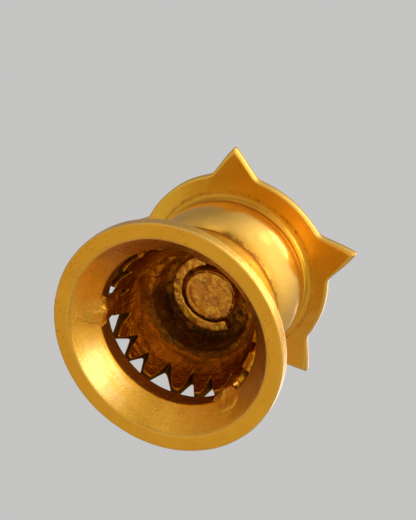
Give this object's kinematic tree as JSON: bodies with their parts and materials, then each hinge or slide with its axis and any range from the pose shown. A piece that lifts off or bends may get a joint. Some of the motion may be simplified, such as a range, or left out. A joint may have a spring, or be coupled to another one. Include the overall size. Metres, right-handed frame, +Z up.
{
  "type": "bell-footed puja lamp",
  "caption": "Small cast brass puja lamp: flared hollow foot, toothed cup, bulging dish with an open oil well and a star-pointed rim.",
  "frame": {"origin": "on the axis, in the plane of the foot's ring face, where the lamp stands", "axes": "+Z up along the axis from the foot to the star rim; +Y towards one point of the rim; +X to the right of it"},
  "size_m": [0.0728, 0.0745, 0.0531],
  "materials": {
    "polished_brass": "hand-polished cast brass, fine pits",
    "turned_brass": "turned brass with tool rings and dark patina",
    "cast_brass": "rough as-cast brass, mottled patina",
    "braze": "rough red-brown braze"
  },
  "bodies": {
    "root": {"foot_ring": "polished_brass", "crown_cup": "turned_brass", "star_dish": "polished_brass", "neck_braze": "braze", "tenon_rivet": "cast_brass", "rivet_collar": "cast_brass", "lug_left": "polished_brass", "lug_right": "polished_brass", "lug_front": "polished_brass"}
  },
  "joints": []
}
